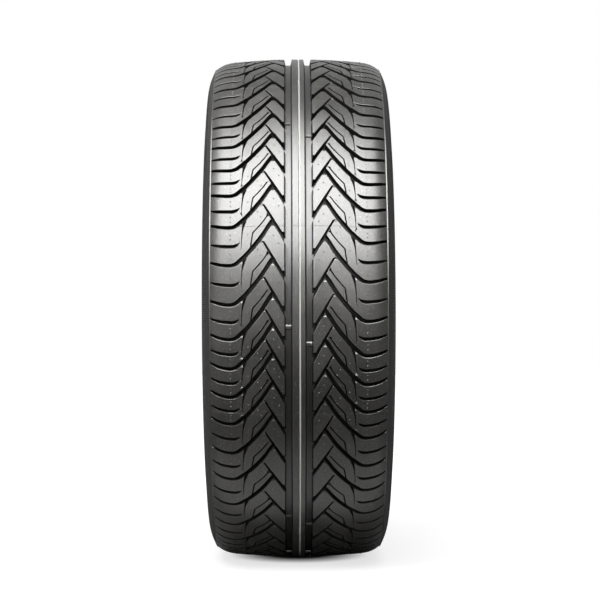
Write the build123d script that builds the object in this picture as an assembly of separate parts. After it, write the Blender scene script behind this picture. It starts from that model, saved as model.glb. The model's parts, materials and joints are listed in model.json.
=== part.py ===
from build123d import *
import math
import os

# A car tyre off its wheel: one moulded ring of rubber, open on its inner side to the rim.
# The axle runs along Y through the origin, Z is up, and the tyre rolls forward towards X.
# Lengths are in millimetres and angles in degrees.

# Overall sizes, across the whole tyre
OUTER_RADIUS = 340.0
SECTION_WIDTH = 242.0
TREAD_WIDTH = 215.0
BEAD_SEAT_RADIUS = 256.4
BEAD_SPREAD = 201.0

# Crown: it falls gently to the shoulder line, then faster to the tread edge
CROWN_FALL = 3.7
SHOULDER_FALL = 8.8
SHOULDER_WIDTH = 27.5
TREAD_THICKNESS = 18.5

# Sidewall: each place is a share of the way up it, from the top of the bead face to the
# tread edge, and each inset is in from the widest ring
BUTTRESS_PLACE = 0.70
BUTTRESS_INSET = 3.0
WIDEST_PLACE = 0.385
PROTECTOR_PLACE = 0.115
PROTECTOR_INSET = 3.0
SIDEWALL_THICKNESS = 9.0

# Bead: a flat seat for the rim, a sloping face above its heel and a sharp toe inside
BEAD_SEAT_WIDTH = 12.5
BEAD_FACE_HEIGHT = 10.0
BEAD_FACE_SLOPE = 6.0

# Liner: the inner surface, from the toe of the bead up to the underside of the tread
LINER_FOOT_PLACE = 0.09
LINER_FOOT_DEPTH = 13.8
LINER_SHOULDER_PLACE = 0.71
LINER_SHOULDER_DEPTH = 17.0
LINER_SHOULDER_INSET = 5.0

# Centre rib and the two grooves that run all round beside it
RIB_WIDTH = 15.2
RING_GROOVE_WIDTH = 9.4
RING_GROOVE_DEPTH = 8.0

# Tread pattern: pitches of three lengths, in an uneven order that keeps the tyre quiet
PITCH_ORDER = "MSSSMLLMSSSMMLLLMMSSMLLLMSSSMLLMSMLLMSSSMLLLLMSSMM"
PITCH_SHARE = {"S": 1.0, "M": 1.16, "L": 1.32}
FIRST_GROOVE_ANGLE = 50.3
SIDE_LAG = 3.5

# The blocks of each pitch are levelled flat from a blank that stands slightly proud
BLANK_ALLOWANCE = 0.5
FLAT_DROP = 7.5

# Main groove: across the shoulder, round a bend and slanting up towards the rib.
# Each opening is measured along the tread, from one wall to the other.
EDGE_OPENING = 3.8
EDGE_RISE = 4.8
SHOULDER_OPENING = 4.4
BEND_WIDTH = 9.0
BEND_RISE = 4.0
BEND_OPENING = 6.8
SLANT_BOW = 2.5
SLANT_OPENING = 9.0
JUNCTION_OPENING = 6.0
PATTERN_DEPTH = 7.4
RUN_OUT = 2.0

# Arrow groove: from the ring groove up and out to a point, met by the main groove
ARROW_MOUTH_RISE = 36.7
ARROW_MOUTH_OPENING = 7.5
ARROW_REACH = 22.5
ARROW_RISE = 37.2
JUNCTION_DISTANCE = 25.0

# Short slot: half a pitch below each main groove, ending in a curled point
SLOT_OPENING = 3.0
SLOT_TIP_WIDTH = 7.0
SLOT_TIP_RISE = 4.0
SLOT_DEPTH = 5.5

# Places worked out from the sizes above, from the middle of the tread and from the axle
tread_edge = TREAD_WIDTH / 2
shoulder_line = tread_edge - SHOULDER_WIDTH
widest = SECTION_WIDTH / 2
heel = BEAD_SPREAD / 2
toe = heel - BEAD_SEAT_WIDTH
groove_inner = RIB_WIDTH / 2
groove_outer = groove_inner + RING_GROOVE_WIDTH
shoulder_radius = OUTER_RADIUS - CROWN_FALL
edge_radius = shoulder_radius - SHOULDER_FALL
liner_radius = OUTER_RADIUS - TREAD_THICKNESS
blank_radius = OUTER_RADIUS + BLANK_ALLOWANCE
bead_top_radius = BEAD_SEAT_RADIUS + BEAD_FACE_HEIGHT

# The tread is drawn flat as seen from the rear, with x outwards to the right and y up
REAR_VIEW = Plane(origin=(0, 0, 0), x_dir=(0, -1, 0), z_dir=(-1, 0, 0))


def up_sidewall(place):
    """Radius of a place on the sidewall, from 0 at the bead face to 1 at the tread edge."""
    return bead_top_radius + place * (edge_radius - bead_top_radius)


def half_section():
    """Corners of one half of the tyre's section, as (distance from the middle, radius)."""
    floor_radius = OUTER_RADIUS - RING_GROOVE_DEPTH
    tread = [
        (groove_inner, OUTER_RADIUS),
        (groove_inner, floor_radius),
        (groove_outer, floor_radius),
        (groove_outer, blank_radius),
        (shoulder_line, shoulder_radius + BLANK_ALLOWANCE),
        (tread_edge, edge_radius + BLANK_ALLOWANCE),
    ]
    sidewall = [
        (widest - BUTTRESS_INSET, up_sidewall(BUTTRESS_PLACE)),
        (widest, up_sidewall(WIDEST_PLACE)),
        (widest - PROTECTOR_INSET, up_sidewall(PROTECTOR_PLACE)),
    ]
    bead = [
        (heel + BEAD_FACE_SLOPE, bead_top_radius),
        (heel, BEAD_SEAT_RADIUS),
        (toe, BEAD_SEAT_RADIUS),
    ]
    wall_inside = widest - SIDEWALL_THICKNESS
    liner_shoulder = wall_inside - LINER_SHOULDER_INSET
    liner = [
        (toe + LINER_FOOT_DEPTH, up_sidewall(LINER_FOOT_PLACE)),
        (wall_inside, up_sidewall(WIDEST_PLACE)),
        (liner_shoulder, up_sidewall(LINER_SHOULDER_PLACE)),
        (liner_shoulder - LINER_SHOULDER_DEPTH, liner_radius),
    ]
    return tread + sidewall + bead + liner


def plain_tyre():
    """The tyre without its pattern: the section turned once round the axle."""
    half = half_section()
    other_half = [(-across, radius) for across, radius in reversed(half)]
    outline = Polyline(*half, *other_half, close=True)
    return revolve(Plane.YZ * make_face(outline), axis=Axis.Y)


def groove_angles():
    """Angle of each main groove up from the rear of the tyre, with the pitch below it."""
    step = 360 / sum(PITCH_SHARE[letter] for letter in PITCH_ORDER)
    angle = FIRST_GROOVE_ANGLE
    places = []
    for letter in PITCH_ORDER:
        pitch = step * PITCH_SHARE[letter]
        places.append((angle, pitch))
        angle -= pitch
    return places


def cutter(corners, inner_end, outer_end):
    """Prism on a flat outline, above a floor through two (distance, radius) points."""
    outline = make_face(Polyline(*corners, close=True))
    run = outer_end[0] - inner_end[0]
    fall = inner_end[1] - outer_end[1]
    floor = Plane(
        origin=(-inner_end[1], -inner_end[0], 0),
        x_dir=(fall, -run, 0),
        z_dir=(-run, -fall, 0),
    )
    prism = extrude(REAR_VIEW.offset(liner_radius) * outline, amount=2 * TREAD_THICKNESS)
    return split(prism, bisect_by=floor, keep=Keep.TOP)


def run_out_point(angle_off):
    """Where a groove's floor meets the shoulder, for a floor that is level at an angle away."""
    across = tread_edge - RUN_OUT
    radius = edge_radius + RUN_OUT * SHOULDER_FALL / SHOULDER_WIDTH
    return across, radius * math.cos(math.radians(angle_off))


def opening(point, size):
    """The upper and lower ends of an opening along the tread, centred on a point."""
    half = Vector(0, size / 2)
    return point + half, point - half


def groove_outline(sections, tip=None):
    """Corners of a groove from its openings in order, down one wall and back up the other."""
    upper_wall = [upper for upper, lower in sections]
    lower_wall = [lower for upper, lower in reversed(sections)]
    end = [tip] if tip else []
    return upper_wall + end + lower_wall


def main_cutters():
    """The main groove and the arrow groove that it runs into, with the bend at angle 0."""
    mouth = Vector(groove_outer, ARROW_MOUTH_RISE)
    arrow_tip = mouth + Vector(ARROW_REACH, ARROW_RISE)
    along = (arrow_tip - mouth).normalized()
    inside = mouth - along * RING_GROOVE_WIDTH / 2
    arrow_openings = [opening(inside, ARROW_MOUTH_OPENING), opening(mouth, ARROW_MOUTH_OPENING)]
    arrow = groove_outline(arrow_openings, arrow_tip)

    edge = Vector(tread_edge, EDGE_RISE)
    shoulder = Vector(shoulder_line, 0)
    bend = shoulder + Vector(-BEND_WIDTH, BEND_RISE)
    junction = mouth + along * JUNCTION_DISTANCE
    slant = junction - bend
    bow = Vector(-slant.Y, slant.X).normalized() * SLANT_BOW
    half_junction = along * JUNCTION_OPENING / 2
    main_groove = groove_outline([
        opening(edge, EDGE_OPENING),
        opening(shoulder, SHOULDER_OPENING),
        opening(bend, BEND_OPENING),
        opening(bend + slant / 2 + bow, SLANT_OPENING),
        (junction + half_junction, junction - half_junction),
    ])

    middle = Vector(0, arrow_tip.Y / 2)
    middle_angle = math.degrees(middle.Y / OUTER_RADIUS)
    edge_angle = math.degrees((middle.Y - EDGE_RISE - EDGE_OPENING / 2) / edge_radius)
    inner_end = (groove_outer, OUTER_RADIUS - PATTERN_DEPTH)
    outer_end = run_out_point(edge_angle)
    cutters = []
    for outline in (arrow, main_groove):
        prism = cutter([corner - middle for corner in outline], inner_end, outer_end)
        cutters.append(Rot(0, middle_angle, 0) * prism)
    return cutters


def slot_cutter():
    """The short slot in the shoulder, at angle 0."""
    edge = Vector(tread_edge, EDGE_RISE)
    shoulder = Vector(shoulder_line, 0)
    tip = shoulder + Vector(-SLOT_TIP_WIDTH, SLOT_TIP_RISE)
    outline = groove_outline([opening(edge, SLOT_OPENING), opening(shoulder, SLOT_OPENING)], tip)
    return cutter(outline, (shoulder_line, shoulder_radius - SLOT_DEPTH), run_out_point(0))


def flat_cutters(pitch):
    """Two cutters that level one pitch of the crown and of the shoulder, at angle 0."""
    half_angle = math.radians(pitch / 2)
    level = math.cos(half_angle)
    half_length = blank_radius * math.tan(half_angle)
    start = (groove_inner + groove_outer) / 2
    outline = [(start, -half_length), (widest, -half_length), (widest, half_length), (start, half_length)]
    crown = (groove_outer, OUTER_RADIUS * level)
    shoulder = (shoulder_line, shoulder_radius * level)
    edge = (tread_edge, edge_radius * level)
    return [cutter(outline, crown, shoulder), cutter(outline, shoulder, edge)]


def both_sides(copy, turn):
    """One cutter at an angle on each half; the left half mirrors the right and runs ahead of it."""
    right = Rot(0, turn - SIDE_LAG, 0) * copy
    left = Rot(0, turn, 0) * mirror(copy, about=Plane.XZ)
    return [right, left]


def all_flats():
    """The level tops of every pitch, each from below one main groove to below the next."""
    drop = math.degrees(FLAT_DROP / OUTER_RADIUS)
    cutters = []
    for angle, pitch in groove_angles():
        for flat in flat_cutters(pitch):
            cutters += both_sides(flat, angle - pitch / 2 - drop)
    return cutters


def all_grooves():
    """Every groove of the pattern, on both halves of the tread."""
    main_grooves = main_cutters()
    slot = slot_cutter()
    cutters = []
    for angle, pitch in groove_angles():
        for groove in main_grooves:
            cutters += both_sides(groove, angle)
        cutters += both_sides(slot, angle - pitch / 2)
    return cutters


tyre = plain_tyre() - all_flats() - all_grooves()
os.makedirs("parts", exist_ok=True)
export_step(tyre, "parts/tyre.step")
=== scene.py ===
# %% [markdown]
# A car tyre is one moulded ring of rubber. Its look comes from three things: the grooves of the tread, the
# satin black of cured rubber, and one big soft light that rolls over the curve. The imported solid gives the
# true size and place, so this lesson loads it first and measures it. Shapes below are in millimetres and
# become metres when a mesh is written. Finishes, lamps and the camera are in metres, as Blender is.

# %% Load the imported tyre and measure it
import json
import math

import bmesh
import bpy
import numpy as np
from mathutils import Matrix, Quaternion, Vector
from mathutils.geometry import delaunay_2d_cdt


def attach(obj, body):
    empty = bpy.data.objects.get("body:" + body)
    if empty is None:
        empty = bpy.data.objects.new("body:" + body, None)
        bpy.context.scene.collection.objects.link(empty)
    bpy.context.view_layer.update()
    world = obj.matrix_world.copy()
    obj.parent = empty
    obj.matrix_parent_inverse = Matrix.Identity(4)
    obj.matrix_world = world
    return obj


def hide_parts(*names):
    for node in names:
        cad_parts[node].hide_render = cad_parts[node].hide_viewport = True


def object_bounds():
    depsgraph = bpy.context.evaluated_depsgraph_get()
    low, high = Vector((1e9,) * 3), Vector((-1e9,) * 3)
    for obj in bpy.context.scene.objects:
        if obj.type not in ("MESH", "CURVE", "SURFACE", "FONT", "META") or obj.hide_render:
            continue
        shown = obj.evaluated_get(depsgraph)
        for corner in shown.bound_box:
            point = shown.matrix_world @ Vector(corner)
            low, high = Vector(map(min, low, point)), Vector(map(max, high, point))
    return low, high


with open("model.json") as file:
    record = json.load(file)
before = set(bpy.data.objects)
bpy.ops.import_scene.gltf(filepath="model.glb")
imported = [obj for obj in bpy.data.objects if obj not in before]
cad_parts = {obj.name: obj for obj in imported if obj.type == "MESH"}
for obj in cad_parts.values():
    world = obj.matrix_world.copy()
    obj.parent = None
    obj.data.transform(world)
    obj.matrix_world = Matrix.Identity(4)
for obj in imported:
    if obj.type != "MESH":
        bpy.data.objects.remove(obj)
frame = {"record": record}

MILLIMETRE = 0.001
FULL_TURN = 2 * math.pi

cad_low, cad_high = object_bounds()
outer_radius = cad_high.z / MILLIMETRE
widest = cad_high.y / MILLIMETRE
seat = frame["record"]["mounts"][0]["dims"]
bead_radius = seat["r_mm"]
heel = seat["length_mm"] / 2
print(f"tyre {2 * outer_radius:.0f} mm across, {2 * widest:.0f} mm wide, rim {2 * bead_radius:.1f} mm")

# %% [markdown]
# The tread is drawn flat first, on a map with two directions: across, from the middle of the tread out to
# its edge, and along, up the rear of the tyre. A map point becomes a point in space by rolling the map
# round the axle. The map needs one more thing, how far the rubber stands from the axle, and that is the
# crown. One arc can't be almost flat in the middle and steep over the shoulder, so the crown is a parabola
# and a cubic that share a slope where they meet.

# %% Crown of the tread and the way from the flat map into space
SHOULDER_LINE = 80.0
TREAD_EDGE = 108.8
CROWN_FALL = 3.7
SHOULDER_FALL = 9.85


def crown_radius(across):
    """Outer radius less a parabola out to the shoulder line, then less that parabola's own slope carried on
    and a cubic, sized to reach the shoulder's fall at the tread edge."""
    shoulder_width = TREAD_EDGE - SHOULDER_LINE
    bend = CROWN_FALL / SHOULDER_LINE**2
    slope = 2 * bend * SHOULDER_LINE
    shoulder_bend = (SHOULDER_FALL - slope * shoulder_width) / shoulder_width**3
    inner = np.minimum(across, SHOULDER_LINE)
    beyond = np.maximum(across - SHOULDER_LINE, 0)
    return outer_radius - bend * inner**2 - slope * beyond - shoulder_bend * beyond**3


def roll_up(across, angle, radius):
    """Points in space, in metres: across goes along the axle, and angle turns up from the tyre's rear."""
    return np.column_stack([-radius * np.cos(angle), across, radius * np.sin(angle)]) * MILLIMETRE


print(f"tread edge is {outer_radius - crown_radius(TREAD_EDGE):.1f} mm below the crown")

# %% [markdown]
# A groove is a path with a width. Its path could be a Blender curve, but the sums below want arrays, so
# each path is a handful of points with a smooth curve worked out through them. The curve is then thinned to
# few points where it runs straight and more where it bends, because every point costs triangles a hundred
# times over.

# %% Smooth paths with few points
PATH_STEP = 5.0
CHANNEL_TURN = 11.0
SLOT_TURN = 14.0


def smooth_path(points, samples=20):
    """Cubic curve through points. At each point the slope is the line between its two neighbours, by chord
    length."""
    p = np.asarray(points, float)
    chord = np.linalg.norm(np.diff(p, axis=0), axis=1)
    reach = np.r_[chord[0], chord, chord[-1]]
    around = np.vstack([2 * p[0] - p[1], p, 2 * p[-1] - p[-2]])
    slope = (around[2:] - around[:-2]) / (reach[1:] + reach[:-1])[:, None]
    u = np.linspace(0, 1, samples, endpoint=False)[None, :, None]
    start_slope = slope[:-1, None] * chord[:, None, None]
    end_slope = slope[1:, None] * chord[:, None, None]
    curve = (2 * u**3 - 3 * u**2 + 1) * p[:-1, None] + (u**3 - 2 * u**2 + u) * start_slope
    curve = curve + (3 * u**2 - 2 * u**3) * p[1:, None] + (u**3 - u**2) * end_slope
    return np.vstack([curve.reshape(-1, 2), p[-1:]])


def thinned(path, largest_turn):
    """The same path with points at equal counts of length over the path step plus turning over largest_turn,
    in degrees."""
    step = np.diff(path, axis=0)
    length = np.linalg.norm(step, axis=1)
    heading = np.unwrap(np.arctan2(step[:, 1], step[:, 0]))
    turning = np.abs(np.diff(heading, prepend=heading[0]))
    count = np.r_[0, np.cumsum(length / PATH_STEP + turning / math.radians(largest_turn))]
    wanted = np.linspace(0, count[-1], int(math.ceil(count[-1])) + 1)
    return np.column_stack([np.interp(wanted, count, path[:, i]) for i in (0, 1)])


trial_bend = smooth_path([(0, 0), (20, 0), (20, 20)])
print(f"a trial bend of {len(trial_bend)} points is thinned to {len(thinned(trial_bend, CHANNEL_TURN))}")

# %% [markdown]
# A groove has a section: the edge of the block, the foot of its small bevel, the foot of its wall. Each is
# a line at a set distance to one side of the path, so the first helper moves a path sideways. The second
# answers the question the other way round, how far inside a groove a point lies. It could be read off a
# grid, but the distance to straight stretches is exact and needs no grid.

# %% Offsets of a path and closeness to it
def offset(path, distance):
    """Path moved to its left by a distance that may vary along it, with mitred corners: at each point the
    two neighbouring normals are added and divided by one plus their product."""
    step = np.diff(path, axis=0)
    normal = np.column_stack([-step[:, 1], step[:, 0]]) / np.linalg.norm(step, axis=1)[:, None]
    before, after = np.vstack([normal[:1], normal]), np.vstack([normal, normal[-1:]])
    mitre = (before + after) / (1 + np.sum(before * after, axis=1))[:, None]
    return path + mitre * np.asarray(distance)[..., None]


def closeness(points, path, half):
    """How far each point is inside a groove: the groove's half width less the distance to its path, at the
    stretch of the path where that is largest. It is negative outside."""
    start, run = path[:-1], np.diff(path, axis=0)
    share = np.sum((points[:, None] - start) * run, axis=2) / np.sum(run**2, axis=1)
    share = np.clip(share, 0, 1)
    distance = np.linalg.norm(points[:, None] - start - share[..., None] * run, axis=2)
    return (half[:-1] + share * np.diff(half) - distance).max(axis=1)


trial_half, trial_shift = np.full(len(trial_bend), 3.0), np.full(len(trial_bend), 1.0)
trial_depths = closeness(offset(trial_bend, trial_shift), trial_bend, trial_half)
print(f"1 mm beside the middle of a 6 mm groove, its edge is {trial_depths.mean():.2f} mm away")

# %% [markdown]
# One pitch of the pattern, on one half of the tread, holds six cuts. The main groove crosses the shoulder,
# bends and slants up to a junction. The arrow groove runs from the ring groove beside the centre rib,
# through that junction, where it is wider, to a point. A short slot splits the shoulder block, a kinked
# sipe splits the block beside it, a claw hangs from the bend, and a small cut blunts the inner block's tip.
# Boolean cutters would be slow and leave poor faces, so the cuts stay lines on the map. Main groove and
# arrow make one unbroken channel, whose own line is the natural border of the piece of map that gets
# repeated.

# %% The channel, the slot and the other cuts of one pitch
INNER_EDGE = 10.4
GROOVE_FLOOR = 13.8
RING_GROOVE_EDGE = 18.0
SHORTEST_PITCH = 36.9
LINE_POINTS = 5

# Paths are (across, along) and widths are (across, width).
JUNCTION = (32.0, 59.0)
MAIN_GROOVE = [(TREAD_EDGE, 5.7), (96.5, 1.6), (84.3, 0.2), (77.5, 2.0), (71.3, 7.1), (62.1, 15.7),
               (45.3, 36.9), (35.0, 54.0), JUNCTION]
CHANNEL_WIDTHS = [(9.0, 5.6), (17.0, 5.4), (25.0, 4.4), (32.0, 3.6), (33.6, 4.6), (36.0, 5.1), (46.0, 6.0),
                  (62.0, 6.2), (72.0, 5.8), (84.0, 5.4), (100.0, 4.9), (TREAD_EDGE, 3.8)]
APEX_WIDTHS = [(25.0, 3.8), (32.0, 7.6), (40.0, 5.2)]
SLOT = [(107.5, 4.2), (98.0, 1.4), (88.0, 0.2), (81.0, 0.0), (77.0, 1.2), (72.4, 4.6)]
SLOT_WIDTHS = [(72.4, 1.2), (76.0, 4.0), (80.0, 5.0), (98.0, 4.8), (107.5, 3.1)]

# The arrow's spur grows longer with the pitch, and its widths go from its tip to the junction.
ARROW_SLOPE = 1.78
ARROW_TIP = 40.6
TIP_GAIN = 0.2
SPUR_WIDTHS = (2.7, 3.9)

# The sipe is (across, share of the pitch above the lower channel). The claw's last point follows the pitch.
SIPE = [(39.2, 0.33), (56.3, 0.395), (59.2, 0.06)]
SIPE_WIDTH = 1.7
CLAW = [(64.6, 10.4), (66.0, 8.0), (67.2, 4.2), (68.4, -1.2), (69.3, -6.8), (70.2, -20.5)]
CLAW_WIDTHS = [2.0, 4.2, 3.4, 2.1, 1.5, 0.7]
CLAW_GAIN = 0.4

# The cut that blunts a tip starts inside the ring groove and stands this far above the arrow's line there.
BLUNT_START = 0.5
BLUNT_LENGTH = 2.0
BLUNT_HALF = 1.6
BLUNT_HEIGHT = 6.8


def arrow_line(across):
    """Points on the arrow groove's straight line, at these distances across."""
    across = np.asarray(across, float)
    return np.column_stack([across, JUNCTION[1] + (across - JUNCTION[0]) * ARROW_SLOPE])


def half_widths(path, widths):
    """Half the groove's width at each point of a path, from a few widths given by distance across."""
    across, width = np.array(widths).T
    return np.interp(path[:, 0], across, width / 2)


main_path = thinned(smooth_path(MAIN_GROOVE), CHANNEL_TURN)
arrow_lower = arrow_line(np.linspace(JUNCTION[0], GROOVE_FLOOR, LINE_POINTS))
channel = np.vstack([main_path, arrow_lower[1:]])
border = np.vstack([channel, arrow_line([INNER_EDGE])])
by_apex = np.flatnonzero((channel[:, 0] > APEX_WIDTHS[0][0]) & (channel[:, 0] < APEX_WIDTHS[-1][0]))
slot_path = thinned(smooth_path(SLOT), SLOT_TURN)
print(f"channel of {len(channel)} points, slot of {len(slot_path)}")

# %% [markdown]
# A section says how the depth grows from a groove's edge inwards: first a small bevel, which catches the
# light as a thin bright line, then a steep wall, then the floor. It could be bump in the material, but real
# depth gives real shadows and a true edge from every side. Each section here is two short lists, how far in
# and how deep, and numpy's interp joins them with straight lines.

# %% Sections of the grooves, and every cut of a pitch
BEVEL = 0.5
BEVEL_DROP = 0.3
WALL_RUN = 1.0
CHANNEL_DEPTH = 7.6
RING_WALL_RUN = 1.7
RING_DEPTH = 8.0
FINE_BEVEL = 0.35
FINE_DROP = 0.2
FINE_WALL = 0.8
SLOT_DEPTH = 5.8
APEX_RUN = 2.4
APEX_DEPTH = 3.6
SIPE_DEPTH = 5.0
CLAW_DROP = 1.8
CLAW_RUN = 1.8
CLAW_DEPTH = 4.5

channel_section = ([0, BEVEL, BEVEL + WALL_RUN], [0, BEVEL_DROP, CHANNEL_DEPTH])
sharp_section = ([0, WALL_RUN], [0, CHANNEL_DEPTH])
ring_section = ([0, BEVEL, BEVEL + RING_WALL_RUN], [0, BEVEL_DROP, RING_DEPTH])
slot_section = ([0, FINE_BEVEL, FINE_BEVEL + FINE_WALL], [0, FINE_DROP, SLOT_DEPTH])
apex_section = ([0, APEX_RUN], [0, APEX_DEPTH])
sipe_section = ([0, SIPE_WIDTH / 2], [0, SIPE_DEPTH])
claw_section = ([0, FINE_BEVEL, CLAW_RUN], [0, CLAW_DROP, CLAW_DEPTH])


def channel_height(across):
    """Height of the channel's line on the map, by distance across."""
    return np.interp(across, *border[::-1].T)


def pitch_cuts(pitch):
    """Every cut in the piece of map between one channel and the next, a pitch below, as its path, half width
    and section."""
    below = np.array([0, -pitch])
    longer = pitch - SHORTEST_PITCH
    channel_half = half_widths(channel, CHANNEL_WIDTHS)
    apex = channel[by_apex]
    spur = arrow_line(np.linspace(ARROW_TIP + TIP_GAIN * longer, JUNCTION[0], LINE_POINTS))
    legs = [np.linspace(a, b, LINE_POINTS)[:-1] for a, b in zip(SIPE[:-1], SIPE[1:])]
    sipe = np.vstack(legs + [SIPE[-1:]])
    sipe[:, 1] = channel_height(sipe[:, 0]) - pitch + sipe[:, 1] * pitch
    claw = smooth_path(CLAW, samples=2)
    claw[-1, 1] -= CLAW_GAIN * longer
    claw_half = np.interp(np.linspace(0, 1, len(claw)), np.linspace(0, 1, len(CLAW)), CLAW_WIDTHS) / 2
    blunt = np.array([[RING_GROOVE_EDGE - BLUNT_START, 0.0], [RING_GROOVE_EDGE + BLUNT_LENGTH, 0.0]])
    blunt[:, 1] = arrow_line([RING_GROOVE_EDGE])[0, 1] - pitch + BLUNT_HEIGHT
    return {
        "channel": (channel, channel_half, channel_section),
        "next channel": (channel + below, channel_half, sharp_section),
        "apex": (apex, half_widths(apex, APEX_WIDTHS), apex_section),
        "spur": (spur + below, np.linspace(*SPUR_WIDTHS, LINE_POINTS) / 2, slot_section),
        "slot": (slot_path + below / 2, half_widths(slot_path, SLOT_WIDTHS), slot_section),
        "sipe": (sipe, np.full(len(sipe), SIPE_WIDTH / 2), sipe_section),
        "claw": (claw, claw_half, claw_section),
        "blunt tip": (blunt, np.full(len(blunt), BLUNT_HALF), sharp_section),
    }


print("cuts of a pitch:", ", ".join(pitch_cuts(SHORTEST_PITCH)))

# %% [markdown]
# The blocks carry two small details. Three corners are cut off at a slant, and in light from above they
# shine as little triangles. Vent stubs are what is left of the rubber that followed the air out of the
# mould. They could be scattered at random, but a mould is drilled to a plan, so every pitch has them at the
# same places.

# %% Corner facets and vent stubs
# A facet's size is how far back from the corner it goes and how far to each side.
APEX_WAY, APEX_FACET = (0.0, 1.0), (2.2, 1.7)
BEND_CORNER, BEND_WAY, BEND_FACET = (69.0, 5.0), (-0.35, 0.94), (2.2, 1.6)
SPUR_SHIFT, SPUR_WAY, SPUR_FACET = (1.5, -1.0), (0.2, 0.98), (1.1, 0.9)
VENT_RADIUS = 0.9
VENT_HEIGHT = 0.6
VENT_LINE = 84.0
VENT_SHARES = (0.25, 0.75)
VENT_STEPS = (-3.0, 3.0)
BLOCK_VENTS = [(30.6, 38.0), (24.4, 28.0), (50.6, 20.5), (46.4, 13.5), (62.4, -9.0)]


def corner_facets(cuts):
    """Corners that are cut off at a slant, each as its place, the way it points, and the facet's size."""
    apex_path, apex_half = cuts["apex"][:2]
    apex = offset(apex_path, apex_half)[np.argmax(apex_path[:, 1])]
    spur_tip = cuts["spur"][0][0]
    return [
        (apex, np.array(APEX_WAY), *APEX_FACET),
        (np.array(BEND_CORNER), np.array(BEND_WAY), *BEND_FACET),
        (spur_tip + SPUR_SHIFT, np.array(SPUR_WAY), *SPUR_FACET),
    ]


def vents(pitch):
    """Places of the vent stubs: pairs on the two shoulder blocks, and a few on the inner blocks."""
    pairs = [(VENT_LINE, -pitch * share + step) for share in VENT_SHARES for step in VENT_STEPS]
    return np.array(pairs + BLOCK_VENTS)


facet_count = len(corner_facets(pitch_cuts(SHORTEST_PITCH)))
print(f"each pitch has {facet_count} corner facets and {len(vents(SHORTEST_PITCH))} vent stubs")

# %% [markdown]
# How deep the rubber is cut at a map point is now one function: the deepest of all the cuts there. Grooves
# run out to nothing just before the tread edge, as they do in a real mould, where that edge is a joint
# between two parts. The block beside the claw is scooped out a little towards it. Taking the largest of
# many simple depths is easier to get right than working out where the cuts meet.

# %% Depth of the tread below its crown
RUN_OUT = 4.5
SCOOP_START = 57.0
SCOOP_DEPTH = 0.6
FACET_SLANT = 0.5


def scoop_depth(points, claw):
    """Depth that grows towards the claw from the scoop's start, and upwards from the claw's lower end."""
    across, along = points.T
    claw_across = np.interp(along, claw[::-1, 1], claw[::-1, 0])
    upwards = np.clip((along - claw[-1, 1]) / (claw[0, 1] - claw[-1, 1]), 0, 1)
    outwards = np.clip((across - SCOOP_START) / (CLAW[0][0] - SCOOP_START), 0, 1)
    return SCOOP_DEPTH * outwards * upwards * (across < claw_across)


def facet_depth(points, corner, way, back, reach):
    """Depth that grows along a facet's way, within the facet's reach to each side, and zero elsewhere."""
    beyond = (points - corner) @ way + back
    aside = np.abs((points - corner) @ [way[1], -way[0]])
    near = (aside < reach) & (beyond > 0) & (beyond < 2 * back)
    return np.where(near, beyond * FACET_SLANT, 0)


def depth_at(points, pitch, cuts):
    """Depth of the tread below its crown: the deepest of the cuts, which fade out at the tread edge, the
    ring groove, the scoop and the facets, less the vent stubs, which are small cones."""
    across = points[:, 0]
    fade = np.sqrt(np.clip((TREAD_EDGE - across) / RUN_OUT, 0, 1))
    found = [np.interp(closeness(points, path, half), *section) * fade
             for path, half, section in cuts.values()]
    found.append(np.interp(RING_GROOVE_EDGE + BEVEL / 2 - across, *ring_section))
    found.append(scoop_depth(points, cuts["claw"][0]))
    found += [facet_depth(points, *facet) for facet in corner_facets(cuts)]
    away = np.linalg.norm(points[:, None] - vents(pitch), axis=2).min(axis=1)
    stub = VENT_HEIGHT * np.clip(1 - away / VENT_RADIUS, 0, 1)
    return np.max(found, axis=0) - stub


channel_depths = depth_at(channel, SHORTEST_PITCH, pitch_cuts(SHORTEST_PITCH))
print(f"the channel goes from {channel_depths.min():.1f} to {channel_depths.max():.1f} mm deep")

# %% [markdown]
# Evenly spaced blocks make a tyre hum on one note, so real pitches come in three lengths in an uneven
# order. The order here is the one that the photograph shows on the side that faces us, carried on in the
# same manner round the rest. The three lengths are shares of the whole turn, so that the last pitch always
# closes it.

# %% Lengths and order of the pitches
PITCH_ORDER = "MSSSMLLMSSSMMLLLMMSSMLLLMSSSMLLMSMLLMSSSMLLLLMSSMM"
PITCH_SHARE = {"S": 1.0, "M": 1.16, "L": 1.32}

whole_turn = sum(PITCH_SHARE[letter] for letter in PITCH_ORDER)
pitch_angles = {letter: FULL_TURN * share / whole_turn for letter, share in PITCH_SHARE.items()}
print("pitches:", {letter: f"{angle * outer_radius:.1f} mm" for letter, angle in pitch_angles.items()})

# %% [markdown]
# The piece of map between two channels is to be cut into triangles whose edges lie on the grooves' own
# lines. A plain grid would need millions of faces to show a sharp edge that runs slantwise. So first come
# the lines that must be edges: both borders, the lines of each cut's section, the ring groove and the
# facets' feet.

# %% Lines that must be edges
NARROWEST = 0.15
EDGE_STOP = 0.4
LEFT, RIGHT, BOTH = [1], [-1], [1, -1]


def section_lines(path, half, insets, sides):
    """The lines of a groove's section on the given sides of its path, left out where the groove is too
    narrow, and stopped just short of the tread edge."""
    lines = []
    for inset in insets:
        level = half - inset
        wide = level > NARROWEST
        for side in sides:
            line = offset(path, side * level)[wide]
            line[:, 0] = np.minimum(line[:, 0], TREAD_EDGE - EDGE_STOP)
            lines.append(line)
    return lines


def cut_lines(cut, insets, sides, with_path=False):
    """Section lines of one cut, with its own path as one more line where the cut comes to a sharp bottom."""
    path, half = cut[:2]
    lines = section_lines(path, half, insets, sides)
    return lines + [path] if with_path else lines


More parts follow.
